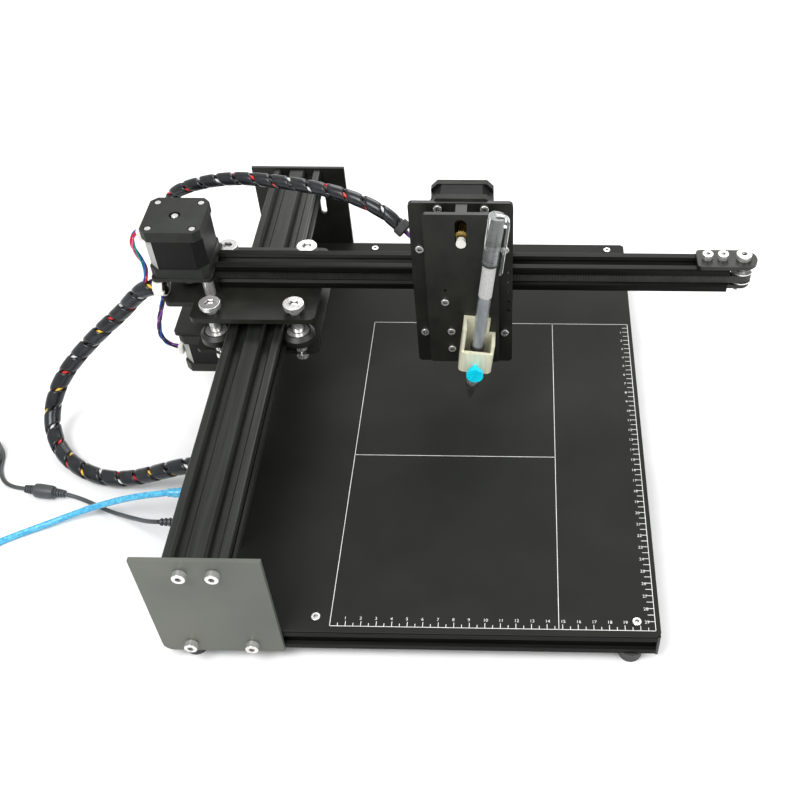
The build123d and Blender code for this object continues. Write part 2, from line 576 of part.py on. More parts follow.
def pen():
    long = HOLD_HIGH - HOLD_LOW
    back = PEN_Y - LIFT_FRONT
    with BuildPart() as holder:
        with BuildSketch(pen_line(HOLD_LOW)):
            with Locations((0, -back - 1.5)):
                Rectangle(24, 3)
            with Locations((-10.75, 1.0)):
                Rectangle(2.5, 16)
        extrude(amount=long)
        with BuildSketch(pen_line(HOLD_LOW)):
            with Locations((10.75, 1.0)):
                Rectangle(2.5, 16)
        extrude(amount=HOLD_RIGHT - HOLD_LOW)
        with BuildSketch(pen_line(HOLD_LOW)):
            with Locations((0, -7.5)):
                Rectangle(24, 3)
        extrude(amount=18)
        up = Axis(pen_line(0).origin, pen_line(0).z_dir)
        front = holder.edges().filter_by(up).sort_by(Axis.Y)[:2]
        fillet(front, 4.0)
        with BuildSketch(pen_line(HOLD_RIGHT)):
            with Locations((10.0, -back - 1.5)):
                Rectangle(6, 3)
        extrude(amount=long, mode=Mode.SUBTRACT)
        with BuildSketch(Plane(pen_line(KNOB_ALONG, PEN_Y - 5).origin, z_dir=(0, -1, 0))):
            Circle(2.1)
        extrude(amount=6, mode=Mode.SUBTRACT)
    keep(holder, "pen_holder")
    knob = Plane(pen_line(KNOB_ALONG, PEN_Y - 5.0).origin, x_dir=(1, 0, 0), z_dir=(0, -1, 0))
    with BuildPart() as thumb_screw:
        add(post(knob, 2.0, 14.0))
        with BuildSketch(knob.offset(10.5)):
            Circle(6.0)
            with PolarLocations(6.15, 24):
                Circle(0.32, mode=Mode.SUBTRACT)
        extrude(amount=3.5)
    keep(thumb_screw, "thumb_screw")

    with BuildPart() as barrel:
        with BuildSketch(pen_line(0)):
            Circle(0.4)
        with BuildSketch(pen_line(3)):
            Circle(1.1)
        loft()
        with BuildSketch(pen_line(3)):
            Circle(1.6)
        with BuildSketch(pen_line(14)):
            Circle(3.6)
        loft()
        with BuildSketch(pen_line(14)):
            Circle(PEN_R)
        extrude(amount=126)
    keep(barrel, "pen_barrel")
    with BuildPart() as cap:
        with BuildSketch(pen_line(128)):
            Circle(PEN_R + 1.0)
            Circle(PEN_R + 0.02, mode=Mode.SUBTRACT)
        extrude(amount=12.0)
        with BuildSketch(pen_line(140)):
            Circle(PEN_R + 1.0)
        extrude(amount=26)
        with BuildSketch(pen_line(120)):
            with Locations((7.9, 0)):
                Rectangle(1.6, 4)
        extrude(amount=43)
        with BuildSketch(pen_line(159)):
            with Locations((5.5, 0)):
                Rectangle(5.0, 4)
        extrude(amount=4)
    keep(cap, "pen_cap")


# --- cords ------------------------------------------------------------------------------------
def cord_tube(name, points, radius):
    """Straight runs joined by arcs as large as each pair of runs allows."""
    spots = [Vector(*at(*p)) for p in points]
    runs = [(b - a) for a, b in zip(spots, spots[1:])]
    radii = []
    for before, after in zip(runs, runs[1:]):
        turn = math.radians(before.get_angle(after))
        radii.append(0.45 * min(before.length, after.length) / math.tan(turn / 2))
    with BuildPart() as tube:
        with BuildLine() as route:
            FilletPolyline(*spots, radius=radii)
        with BuildSketch(Plane(spots[0], z_dir=runs[0])):
            Circle(radius)
        sweep()
    length = sum(edge.length for edge in route.edges())
    share = tube.part.volume / (math.pi * radius**2 * length)
    print(name, "length", round(length, 1), "volume share", round(share, 4))
    print(name, "radii", [round(r) for r in radii])
    return tube.part


USB_ROUTE = [
    (-127, 104, 6.5), (-142, 104.6, 3.0), (-156, 107.6, -3.5), (-169, 110.4, -10.7),
    (-181, 111.9, -16.9), (-192.5, 111.9, -21.8), (-204, 109.6, -25.3), (-216, 105.3, -27.6),
    (-229, 99.5, -29.0), (-243, 92.5, -29.6), (-256, 84.5, -29.6), (-266, 73.5, -29.6),
    (-271, 58.5, -29.6), (-271.8, 42.5, -29.6),
]
DC_ROUTE = [
    (-127, 77.7, 6.5), (-137, 81, 2.5), (-149, 90, -6.5), (-163, 101, -17), (-176, 110.5, -25.5),
    (-190, 119, -29.6), (-205, 126, -28.6), (-218, 128.8, -26.5),
]
DC_ROUTE_2 = [
    (-250, 133.4, -26.5), (-261, 136.5, -28.2), (-270, 142.5, -30.2), (-276.5, 152.5, -30.4),
    (-279, 164, -30.4),
]
BASE_LOOM = [
    (-91, 130, 6.6), (-106, 130.4, 6.6), (-121, 131.5, 4.5), (-137, 133.5, -3), (-154, 137, -13),
    (-171, 140.5, -21.5), (-188, 143.5, -25.6), (-205, 149, -26.3), (-221, 158.5, -25.8),
    (-234, 171, -23), (-242, 185.5, -17.5), (-243.5, 197, -9), (-240, 206.5, 2), (-233, 215, 13),
    (-222, 221.5, 25), (-208.5, 225.5, 38), (-193, 228.5, 52), (-176.5, 230, 66),
    (-163, 230, 81), (-150, 228.5, 92), (-135.5, 226.5, 93.5),
]
PEN_LOOM = [
    (-124, 258, 93.8), (-127, 270, 93.8), (-131, 281, 96), (-136, 288.5, 102), (-140.5, 291.5, 111),
    (-141.5, 291, 120.5), (-138, 289.5, 129), (-128, 287.5, 136), (-114, 285, 142), (-98, 281.5, 147.5),
    (-81, 278, 151), (-63, 273.5, 152.6), (-45, 268.5, 153.6), (-28, 262.8, 154.4), (-11, 256.5, 154.8),
    (4, 250.5, 153.8), (18, 244.5, 151.2), (30, 239, 146.5), (40, 233.5, 139),
]
USB_COIL, DC_COIL = (-302.0, 42.0), (-300.0, 164.0)


def coil(centre, middle, wide, tall):
    with BuildPart() as bundle:
        with BuildSketch(flat(*centre, FLOOR)):
            Circle(middle + wide / 2)
            Circle(middle - wide / 2, mode=Mode.SUBTRACT)
        extrude(amount=tall)
        fillet(bundle.edges(), 2.0)
    return bundle.part


def plug_body(plane, sizes):
    """Stepped round sections along the plane's normal: (radius, length) pairs."""
    start = 0.0
    with BuildPart() as body:
        for radius, long in sizes:
            with BuildSketch(plane.offset(start)):
                Circle(radius)
            extrude(amount=long)
            start += long
    return body.part


def cords():
    out = Plane(origin=at(-90, 104, 6.5), x_dir=(0, 1, 0), z_dir=(-1, 0, 0))
    group("usb_connector", [plug_body(out, [(4.0, 6), (5.0, 19), (3.9, 4), (3.4, 4), (3.0, 4)])])
    out = Plane(origin=at(-90, 77.7, 6.5), x_dir=(0, 1, 0), z_dir=(-1, 0, 0))
    group("dc_connector", [plug_body(out, [(2.8, 8), (5.0, 14), (3.4, 8), (2.6, 7)])])
    group("usb_cable", [cord_tube("usb", USB_ROUTE, USB_R)])
    dc = [cord_tube("dc", DC_ROUTE, DC_R), cord_tube("dc far", DC_ROUTE_2, DC_R)]
    group("dc_cable", dc)
    start, end = Vector(*at(*DC_ROUTE[-1])), Vector(*at(*DC_ROUTE_2[0]))
    barrel = Plane(start, z_dir=end - start)
    long = (end - start).length
    group("inline_connector", [plug_body(barrel, [(3.4, 4), (5.5, long - 8), (3.4, 4)])])
    group("base_loom", [cord_tube("base loom", BASE_LOOM, BASE_LOOM_R)])
    group("pen_loom", [cord_tube("pen loom", PEN_LOOM, PEN_LOOM_R)])
    group("usb_coil", [coil(USB_COIL, 25.8, 14.0, 10.5)])
    group("dc_coil", [coil(DC_COIL, 17.8, 10.0, 9.8)])
    x, y = USB_COIL[0] - 25.8, USB_COIL[1] - 8
    with BuildPart() as usb_plug:
        add(slab((x - 8, y, FLOOR + 10.5), (x + 8, y + 26, FLOOR + 18.5), 2.0))
        add(slab((x - 6, y + 26, FLOOR + 12.25), (x + 6, y + 38, FLOOR + 16.75)))
    keep(usb_plug, "usb_plug")
    lying = Plane(
        origin=at(DC_COIL[0] - 17.8, DC_COIL[1] + 12, FLOOR + 14.8), x_dir=(1, 0, 0), z_dir=(0, -1, 0)
    )
    group("dc_plug", [plug_body(lying, [(2.6, 6), (3.4, 6), (5.0, 20), (2.75, 10)])])


os.makedirs("parts", exist_ok=True)
base()
control_box()
y_carriage()
x_drive()
x_carriage()
z_drive()
lift()
pen()
cords()
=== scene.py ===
import math

import bmesh
import bpy
from mathutils import Matrix, Vector


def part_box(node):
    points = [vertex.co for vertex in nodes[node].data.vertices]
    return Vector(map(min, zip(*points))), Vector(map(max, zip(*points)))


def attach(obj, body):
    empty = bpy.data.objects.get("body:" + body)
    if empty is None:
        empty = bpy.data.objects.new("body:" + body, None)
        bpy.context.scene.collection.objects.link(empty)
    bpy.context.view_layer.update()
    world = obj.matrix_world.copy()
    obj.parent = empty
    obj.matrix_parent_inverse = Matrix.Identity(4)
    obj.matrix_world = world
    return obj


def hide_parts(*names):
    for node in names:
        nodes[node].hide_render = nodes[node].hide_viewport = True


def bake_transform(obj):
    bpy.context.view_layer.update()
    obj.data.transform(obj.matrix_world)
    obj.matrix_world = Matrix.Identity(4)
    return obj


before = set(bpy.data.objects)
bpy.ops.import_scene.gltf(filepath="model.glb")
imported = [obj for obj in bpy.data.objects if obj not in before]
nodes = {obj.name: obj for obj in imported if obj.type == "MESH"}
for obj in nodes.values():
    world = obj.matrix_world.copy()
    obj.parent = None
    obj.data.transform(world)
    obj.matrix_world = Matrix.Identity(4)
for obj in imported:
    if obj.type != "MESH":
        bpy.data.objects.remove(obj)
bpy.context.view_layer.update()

MM = 0.001

# Machine coordinates, in millimetres: they count from the paper's front left corner on the bed's
# top face, as in the design, and p() gives that place in the frame, in metres.
PAPER = Vector((-73.45, -201.5, 32.0))
FLOOR = -32.0
CAR_Y, ARM_Z = 243.0, 97.0                  # the cross arm's line
MOTOR_X, X_MOTOR_TOP = -122.6, 143.7        # the X motor's axis and its top
Y_MOTOR_X, MOTOR_HALF, SCREW_SPAN = -117.0, 21.15, 31.0
PEN_TIP, PEN_Y, PEN_TILT = (83.5, 15.0), 194.0, math.radians(7.4)
SHEET, HALF_SHEET = (210.0, 297.0), 148.0   # the outlines printed on the bed


def p(x, y, z):
    return (PAPER + Vector((x, y, z))) * MM


def on_pen(along, side=0.0, front=0.0):
    """A place on the pen: up from its tip, to its right, and towards the operator."""
    s, c = math.sin(PEN_TILT), math.cos(PEN_TILT)
    return p(PEN_TIP[0] + along * s + side * c, PEN_Y - front, PEN_TIP[1] + along * c - side * s)


# --- camera -----------------------------------------------------------------------------------
CAMERA_PLACE, CAMERA_ANGLES = (118.3, -370.2, 579.1), (-1.82, 47.41, -0.63)
SENSOR, LENS, SHIFT_X, SHIFT_Y = 36.0, 47.511, -0.115625, 0.0535


def make_camera():
    yaw, pitch, roll = (math.radians(a) for a in CAMERA_ANGLES)
    ahead = Vector((math.sin(yaw) * math.cos(pitch), math.cos(yaw) * math.cos(pitch), -math.sin(pitch)))
    level = Vector((math.cos(yaw), -math.sin(yaw), 0))
    upright = level.cross(ahead)
    right = math.cos(roll) * level + math.sin(roll) * upright
    up = -math.sin(roll) * level + math.cos(roll) * upright
    data = bpy.data.cameras.new("camera")
    data.sensor_width = SENSOR
    data.lens = LENS
    data.shift_x, data.shift_y = SHIFT_X, SHIFT_Y
    data.clip_end = 20.0
    camera = bpy.data.objects.new("camera", data)
    bpy.context.scene.collection.objects.link(camera)
    turn = Matrix((right, up, -ahead)).transposed()
    camera.matrix_world = Matrix.Translation(p(*CAMERA_PLACE)) @ turn.to_4x4()
    bpy.context.scene.camera = camera


# --- materials --------------------------------------------------------------------------------
def link(tree, a, b):
    tree.links.new(a, b)


def surface(name, base, other, rough=(0.35, 0.5), metallic=0.0, grain=(1, 1, 1), scale=60.0,
            bump=0.05, fine=900.0, share=(0.35, 0.65), **sockets):
    """A procedural finish: two colours mixed by a stretched noise, with its own roughness and bump."""
    made = bpy.data.materials.new(name)
    made.use_nodes = True
    tree = made.node_tree
    shader = tree.nodes["Principled BSDF"]
    shader.inputs["Metallic"].default_value = metallic
    for key, value in sockets.items():
        shader.inputs[key.replace("_", " ")].default_value = value
    place = tree.nodes.new("ShaderNodeTexCoord")
    stretch = tree.nodes.new("ShaderNodeMapping")
    stretch.inputs["Scale"].default_value = grain
    link(tree, place.outputs["Object"], stretch.inputs["Vector"])
    coarse = tree.nodes.new("ShaderNodeTexNoise")
    coarse.inputs["Scale"].default_value = scale
    coarse.inputs["Detail"].default_value = 6.0
    link(tree, stretch.outputs["Vector"], coarse.inputs["Vector"])
    small = tree.nodes.new("ShaderNodeTexNoise")
    small.inputs["Scale"].default_value = fine
    small.inputs["Detail"].default_value = 3.0
    link(tree, stretch.outputs["Vector"], small.inputs["Vector"])
    ramp = tree.nodes.new("ShaderNodeValToRGB")
    ramp.color_ramp.elements[0].position, ramp.color_ramp.elements[1].position = share
    ramp.color_ramp.elements[0].color = (*base, 1)
    ramp.color_ramp.elements[1].color = (*other, 1)
    link(tree, coarse.outputs["Fac"], ramp.inputs["Fac"])
    link(tree, ramp.outputs["Color"], shader.inputs["Base Color"])
    spread = tree.nodes.new("ShaderNodeMapRange")
    spread.inputs["To Min"].default_value, spread.inputs["To Max"].default_value = rough
    link(tree, small.outputs["Fac"], spread.inputs["Value"])
    link(tree, spread.outputs["Result"], shader.inputs["Roughness"])
    rise = tree.nodes.new("ShaderNodeBump")
    rise.inputs["Strength"].default_value = bump
    rise.inputs["Distance"].default_value = 0.0004
    link(tree, small.outputs["Fac"], rise.inputs["Height"])
    link(tree, rise.outputs["Normal"], shader.inputs["Normal"])
    made["ramp"] = ramp.name
    return made


def ribs(made, axis, pitch, depth=0.6, distance=0.0004):
    """Adds evenly spaced ridges along an axis to a finish."""
    tree = made.node_tree
    place = tree.nodes.new("ShaderNodeTexCoord")
    wave = tree.nodes.new("ShaderNodeTexWave")
    wave.bands_direction = axis
    wave.inputs["Scale"].default_value = 0.314 / pitch
    link(tree, place.outputs["Object"], wave.inputs["Vector"])
    rise = tree.nodes.new("ShaderNodeBump")
    rise.inputs["Strength"].default_value = depth
    rise.inputs["Distance"].default_value = distance
    link(tree, wave.outputs["Fac"], rise.inputs["Height"])
    first = tree.nodes["Bump"]
    link(tree, rise.outputs["Normal"], first.inputs["Normal"])
    return made


def laminated(made, axis, low, high, split):
    """Between two planes across an axis: dark laminations with bare steel on the cut corners; the
    corners show it only left of split, a painted highlight on the lit side.
    """
    tree = made.node_tree
    shader = tree.nodes["Principled BSDF"]

    def calc(operation, a, b):
        found = tree.nodes.new("ShaderNodeMath")
        found.operation = operation
        for socket, value in zip(found.inputs, (a, b)):
            if isinstance(value, (int, float)):
                socket.default_value = value
            else:
                link(tree, value, socket)
        return found.outputs[0]

    def parts(source):
        axes = tree.nodes.new("ShaderNodeSeparateXYZ")
        link(tree, source, axes.inputs["Vector"])
        return axes.outputs

    spot = parts(tree.nodes.new("ShaderNodeTexCoord").outputs["Object"])
    place = spot["XYZ".index(axis)]
    inside = calc("MULTIPLY", calc("GREATER_THAN", place, low), calc("LESS_THAN", place, high))
    facing = parts(tree.nodes.new("ShaderNodeNewGeometry").outputs["True Normal"])
    first, second = [facing["XYZ".index(name)] for name in "XYZ" if name != axis]
    corner = calc("GREATER_THAN", calc("ABSOLUTE", calc("MULTIPLY", first, second), 0.0), 0.3)
    # bare: the cut corners' bare-steel tone, kept left of split as a painted highlight on the lit side;
    # the right-hand corners keep the dark lamination tone.
    bare = calc("MULTIPLY", calc("MULTIPLY", inside, corner), calc("LESS_THAN", spot["X"], split))
    colour = tree.nodes[made["ramp"]].outputs["Color"]
    for mask, tone in ((inside, (0.006, 0.006, 0.0065)), (bare, (0.42, 0.42, 0.4))):
        mix = tree.nodes.new("ShaderNodeMix")
        mix.data_type = "RGBA"
        link(tree, mask, mix.inputs["Factor"])
        link(tree, colour, mix.inputs["A"])
        mix.inputs["B"].default_value = (*tone, 1)
        colour = mix.outputs["Result"]
    link(tree, colour, shader.inputs["Base Color"])
    return ribs(made, axis, 0.0007, 0.5, 0.0003)


def end_metal(made, axis, edge, above):
    """Past a plane across an axis the piece is plated metal, as on a plug's tip."""
    tree = made.node_tree
    shader = tree.nodes["Principled BSDF"]
    place = tree.nodes.new("ShaderNodeTexCoord")
    split = tree.nodes.new("ShaderNodeSeparateXYZ")
    link(tree, place.outputs["Object"], split.inputs["Vector"])
    past = tree.nodes.new("ShaderNodeMath")
    past.operation = "GREATER_THAN" if above else "LESS_THAN"
    past.inputs[1].default_value = edge
    link(tree, split.outputs["XYZ".index(axis)], past.inputs[0])
    mix = tree.nodes.new("ShaderNodeMix")
    mix.data_type = "RGBA"
    link(tree, past.outputs[0], mix.inputs["Factor"])
    link(tree, tree.nodes[made["ramp"]].outputs["Color"], mix.inputs["A"])
    mix.inputs["B"].default_value = (0.75, 0.74, 0.72, 1)
    link(tree, mix.outputs["Result"], shader.inputs["Base Color"])
    link(tree, past.outputs[0], shader.inputs["Metallic"])
    return made


def recess_shade(made):
    """Paints shade into sockets and other small hollows: the colour darkens to near black where ambient
    occlusion finds them.
    """
    tree = made.node_tree
    shader = tree.nodes["Principled BSDF"]
    hollow = tree.nodes.new("ShaderNodeAmbientOcclusion")
    hollow.samples = 12
    hollow.inputs["Distance"].default_value = 0.0018
    depth = tree.nodes.new("ShaderNodeMapRange")
    depth.inputs["From Min"].default_value, depth.inputs["From Max"].default_value = 0.42, 0.84
    link(tree, hollow.outputs["AO"], depth.inputs["Value"])
    mix = tree.nodes.new("ShaderNodeMix")
    mix.data_type = "RGBA"
    # painted shade: the near-black colour used in the hollows
    mix.inputs["A"].default_value = (0.02, 0.02, 0.02, 1)
    link(tree, depth.outputs["Result"], mix.inputs["Factor"])
    link(tree, tree.nodes[made["ramp"]].outputs["Color"], mix.inputs["B"])
    link(tree, mix.outputs["Result"], shader.inputs["Base Color"])
    return made


def finishes():
    black, grey = (0.006, 0.0062, 0.0056), (0.016, 0.0165, 0.0148)
    made = {
        "bar_y": surface("anodised_bar_y", (0.011, 0.0118, 0.0099), (0.022, 0.0236, 0.02),
                         (0.26, 0.4), 0.1, (1, 0.03, 1), 500, 0.05, 1500, Specular_IOR_Level=0.28),
        "bar_x": surface("anodised_bar_x", (0.003, 0.0032, 0.0027), (0.0075, 0.0079, 0.0067),
                         (0.28, 0.42), 0.1, (0.03, 1, 1), 500, 0.05, 1500, Specular_IOR_Level=0.07),
        "plate": surface("painted_plate", (0.0085, 0.009, 0.0068), (0.015, 0.0155, 0.0115), (0.36, 0.5),
                         bump=0.12, fine=2600, Specular_IOR_Level=0.32),
        "end_plate": surface("end_plate", (0.075, 0.084, 0.07), (0.1, 0.106, 0.086), (0.42, 0.56),
                             bump=0.12, fine=2600, scale=14),
        "bed": surface("bed_finish", (0.018, 0.0188, 0.0163), (0.021, 0.022, 0.0191), (0.42, 0.55),
                       bump=0.1, fine=2400, scale=25, Specular_IOR_Level=0.05),
        "plastic": surface("moulded_plastic", black, grey, (0.36, 0.5), bump=0.15, fine=1800),
        "rubber": surface("rubber", (0.03, 0.03, 0.03), (0.045, 0.045, 0.045), (0.6, 0.75), bump=0.2,
                          fine=1600),
        "steel": surface("bright_steel", (0.86, 0.85, 0.83), (0.7, 0.69, 0.67), (0.14, 0.3), 0.8,
                         scale=200),
        "brass": surface("brass", (0.5, 0.37, 0.12), (0.36, 0.25, 0.08), (0.25, 0.4), 1.0, scale=300),
        "champagne": surface("champagne_aluminium", (0.82, 0.8, 0.62), (0.7, 0.68, 0.52),
                             (0.28, 0.42), 0.2, (1, 1, 0.05), 700, 0.06, 1800),
        "blue": surface("blue_anodised", (0.0, 0.62, 0.84), (0.01, 0.78, 0.95), (0.22, 0.34), 0.1,
                        scale=150),
        "nylon": surface("nylon", (0.8, 0.8, 0.74), (0.7, 0.7, 0.64), (0.35, 0.5)),
        "belt": surface("belt", black, grey, (0.5, 0.7), bump=0.3, fine=1400),
        "board": surface("circuit_board", (0.01, 0.05, 0.2), (0.01, 0.1, 0.3), (0.3, 0.5), scale=300),
        "wrap": surface("spiral_wrap", (0.006, 0.0065, 0.008), (0.016, 0.018, 0.021), (0.18, 0.3),
                        scale=120, bump=0.05, Specular_IOR_Level=0.42),
        "black_cable": surface("black_cable", (0.03, 0.033, 0.034), (0.06, 0.065, 0.068), (0.35, 0.5)),
        "blue_cable": surface("blue_cable", (0.05, 0.4, 0.72), (0.15, 0.64, 0.87), (0.14, 0.28),
                              scale=420, share=(0.38, 0.64), Transmission_Weight=0.25, IOR=1.45),
        "clear": surface("clear_plastic", (0.9, 0.92, 0.92), (0.84, 0.87, 0.87), (0.03, 0.08),
                         bump=0.02, Transmission_Weight=0.94, IOR=1.42),
        "white": surface("print_white", (0.74, 0.74, 0.73), (0.6, 0.6, 0.59), (0.5, 0.65)),
        "chrome": surface("chromed_clip", (0.82, 0.83, 0.84), (0.7, 0.71, 0.72), (0.06, 0.16), 1.0),
        "ink": surface("refill", (0.3, 0.32, 0.36), (0.46, 0.48, 0.5), (0.2, 0.3), grain=(1, 1, 0.2),
                       scale=260),
        "label": surface("paper_label", (0.52, 0.52, 0.5), (0.4, 0.4, 0.39), (0.45, 0.6), scale=900),
    }
    ribs(made["belt"], "X", 0.002, 0.5)
    for name in ("steel", "chrome"):
        recess_shade(made[name])
    return made


def paint(finish, *names):
    for name in names:
        slots = nodes[name].data.materials
        slots.clear()
        slots.append(M[finish])


# --- pieces -----------------------------------------------------------------------------------
def piece(name, data, body, finish):
    made = bpy.data.objects.new(name, data)
    bpy.context.scene.collection.objects.link(made)
    if finish:
        made.data.materials.append(M[finish])
    if body:
        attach(made, body)
    return made


def smooth(mesh):
    for face in mesh.polygons:
        face.use_smooth = True
    return mesh


def route_curve(name, points, radius):
    """A cord's line: one spline whose control points are the route, in metres."""
    data = bpy.data.curves.new(name, "CURVE")
    data.dimensions = "3D"
    spline = data.splines.new("NURBS")
    spline.points.add(len(points) - 1)
    for spot, place in zip(spline.points, points):
        spot.co = (*place, 1)
    spline.order_u = 3
    spline.use_endpoint_u = True
    spline.resolution_u = 8
    data.resolution_u = 8
    data.bevel_depth = radius
    data.bevel_resolution = 5
    data.use_fill_caps = True
    return data


def sampled(points):
    """Points along the route's own spline."""
    curve = route_curve("line", points, 0.0)
    holder = bpy.data.objects.new("line", curve)
    mesh = bpy.data.meshes.new_from_object(holder)
    line = [v.co.copy() for v in mesh.vertices]
    bpy.data.objects.remove(holder)
    bpy.data.meshes.remove(mesh)
    bpy.data.curves.remove(curve)
    return line


def spaced(line, step):
    """The same line with its points a step apart."""
    out, carry = [line[0]], 0.0
    for a, b in zip(line, line[1:]):
        long = (b - a).length
        while long > 0 and carry + long >= step:
            a = a + (b - a) * ((step - carry) / long)
            out.append(a.copy())
            long, carry = (b - a).length, 0.0
        carry += long
    return out


def frames(line):
    """A side and an up direction at each point of a line, turning as little as they can."""
    side = Vector((0, 0, 1)).cross(line[1] - line[0]).normalized()
    found = []
    for i, place in enumerate(line):
        along = (line[min(i + 1, len(line) - 1)] - line[max(i - 1, 0)]).normalized()
        side = (side - along * side.dot(along)).normalized()
        found.append((side, along.cross(side)))
    return found


def swept(name, line, section, close=True):
    """A mesh whose cross-section at point i is section(i): a list of (side, up) offsets."""
    mesh = bpy.data.meshes.new(name)
    rings = frames(line)
    verts, faces = [], []
    for i, (place, (side, up)) in enumerate(zip(line, rings)):
        offsets = section(i)
        count = len(offsets)
        verts += [place + side * a + up * b for a, b in offsets]
        if i:
            for k in range(count if close else count - 1):
                j = (k + 1) % count
                a = (i - 1) * count
                faces.append((a + k, a + j, a + count + j, a + count + k))
    if close:
        last = len(verts) - count
        faces.append(tuple(range(count))[::-1])
        faces.append(tuple(range(last, last + count)))
    mesh.from_pydata(verts, [], faces)
    return smooth(mesh)


def circle(radius, sides):
    turn = 2 * math.pi / sides
    return [(radius * math.cos(k * turn), radius * math.sin(k * turn)) for k in range(sides)]


def lathe(name, start, direction, profile, sides=40):
    """A turned piece: profile gives (distance along, radius) in millimetres, from start."""
    along = direction.normalized()
    side = along.orthogonal().normalized()
    up = along.cross(side)
    verts, faces = [], []
    for reach, radius in profile:
        for a, b in circle(max(radius, 0.001), sides):
            verts.append(start + along * reach * MM + (side * a + up * b) * MM)
    for i in range(len(profile) - 1):
        for k in range(sides):
            j = (k + 1) % sides
            faces.append((i * sides + k, i * sides + j, (i + 1) * sides + j, (i + 1) * sides + k))
    mesh = bpy.data.meshes.new(name)
    mesh.from_pydata(verts, [], faces)
    mesh.polygons.foreach_set("use_smooth", [True] * len(mesh.polygons))
    mesh.set_sharp_from_angle(angle=math.radians(32))
    return mesh


def merged(name, meshes):
    whole = bmesh.new()
    for mesh in meshes:
        whole.from_mesh(mesh)
    made = bpy.data.meshes.new(name)
    whole.to_mesh(made)
    return made


def block(low, high, bevel=0.4):
    """A box with rounded edges between two places, in millimetres."""
    a, b = p(*low), p(*high)
    round_it = ((a.x, a.y), (b.x, a.y), (b.x, b.y), (a.x, b.y))
    corners = [(x, y, z) for z in (a.z, b.z) for x, y in round_it]
    mesh = bpy.data.meshes.new("block")
    sides = [(0, 3, 2, 1), (4, 5, 6, 7), (0, 1, 5, 4), (1, 2, 6, 5), (2, 3, 7, 6), (3, 0, 4, 7)]
    mesh.from_pydata(corners, [], sides)
    shape = bmesh.new()
    shape.from_mesh(mesh)
    bmesh.ops.bevel(shape, geom=shape.edges[:], offset=bevel * MM, segments=3, profile=0.5,
                    affect="EDGES")
    shape.to_mesh(mesh)
    return smooth(mesh)


# --- cords ------------------------------------------------------------------------------------
USB_ROUTE = [
    (-127, 104, 6.5), (-142, 104.6, 3.0), (-156, 107.6, -3.5), (-169, 110.4, -10.7),
    (-181, 111.9, -16.9), (-192.5, 111.9, -21.8), (-204, 109.6, -25.3), (-216, 105.3, -27.6),
    (-229, 99.5, -29.0), (-243, 92.5, -29.6), (-256, 84.5, -29.6), (-266, 73.5, -29.6),
    (-271, 58.5, -29.6), (-271.8, 42.5, -29.6),
]
DC_ROUTE = [
    (-127, 77.7, 6.5), (-137, 81, 2.5), (-149, 90, -6.5), (-163, 101, -17), (-176, 110.5, -25.5),
    (-190, 119, -29.6), (-205, 126, -28.6), (-218, 128.8, -26.5),
    (-234, 131.1, -26.5), (-250, 133.4, -26.5), (-261, 136.5, -28.2), (-270, 142.5, -30.2),
    (-276.5, 152.5, -30.4), (-279, 164, -30.4),
]
BARREL_FROM, BARREL_TO = 7, 9               # the DC route's points at the inline barrel's ends
BASE_LOOM = [
    (-91, 130, 6.6), (-106, 130.4, 6.6), (-121, 131.5, 4.5), (-137, 133.5, -3), (-154, 137, -13),
    (-171, 140.5, -21.5), (-188, 143.5, -25.6), (-205, 149, -26.3), (-221, 158.5, -25.8),
    (-234, 171, -23), (-242, 185.5, -17.5), (-243.5, 197, -9), (-240, 206.5, 2), (-233, 215, 13),
    (-222, 221.5, 25), (-208.5, 225.5, 38), (-193, 228.5, 52), (-176.5, 230, 66),
    (-163, 230, 81), (-150, 228.5, 92), (-135.5, 226.5, 93.5),
]
PEN_LOOM = [
    (-124, 258, 93.8), (-127, 270, 93.8), (-131, 281, 96), (-136, 288.5, 102), (-140.5, 291.5, 111),
    (-141.5, 291, 120.5), (-138, 289.5, 129), (-128, 287.5, 136), (-114, 285, 142), (-98, 281.5, 147.5),
    (-81, 278, 151), (-63, 273.5, 152.6), (-45, 268.5, 153.6), (-28, 262.8, 154.4), (-11, 256.5, 154.8),
    (4, 250.5, 153.8), (18, 244.5, 151.2), (30, 239, 146.5), (40, 233.5, 139),
]
# The routes of the motors' own short leads, each from its motor to its loom.
X_LEAD = [
    (-148, 236, 136), (-152, 234, 134), (-154.5, 232.5, 128), (-153.5, 232, 120), (-150.5, 232, 112),
    (-149.5, 231, 105), (-150.5, 229, 99), (-153, 228.5, 93),
]
Y_LEAD = [
    (-139.5, 227, 88), (-142, 226, 80), (-146, 226, 70), (-150, 226, 59), (-152, 226, 48),
    (-150, 227, 39), (-145, 229, 33), (-139.5, 231, 30),
]
PEN_LEAD = [
    (40, 233.5, 139), (44, 232.5, 133), (49.5, 232, 131), (54, 232, 135), (56, 232, 141),
    (58.5, 232, 147),
]
USB_COIL, DC_COIL = (-302.0, 42.0), (-300.0, 164.0)
DC_PORT = (-90, 77.7, 6.5)
USB_THICK, DC_THICK = 4.8, 3.2              # the two leads' diameters


def coil_points(centre, radii, layers, pitch, turning, dropped, per_turn=14):
    """Turns that wind inwards and out again, a layer at a time, without the last few points.

    Each turn keeps its radius and height for 0.7 of its way, then moves to the next one's.
    """
    points, low = [], FLOOR + pitch / 2
    order = [(ring, layer) for layer in range(layers)
             for ring in (radii if layer % 2 == 0 else radii[::-1])]
    for turn, (radius, layer) in enumerate(order):
        after = order[min(turn + 1, len(order) - 1)]
        for k in range(per_turn):
            share = max(0.0, (k / per_turn - 0.7) / 0.3)
            r = radius + (after[0] - radius) * share
            height = low + pitch * (layer + (after[1] - layer) * share)
            angle = turning * 2 * math.pi * (k + 0.6) / per_turn
            points.append((centre[0] + r * math.cos(angle), centre[1] + r * math.sin(angle), height))
    return points[: len(points) - dropped]


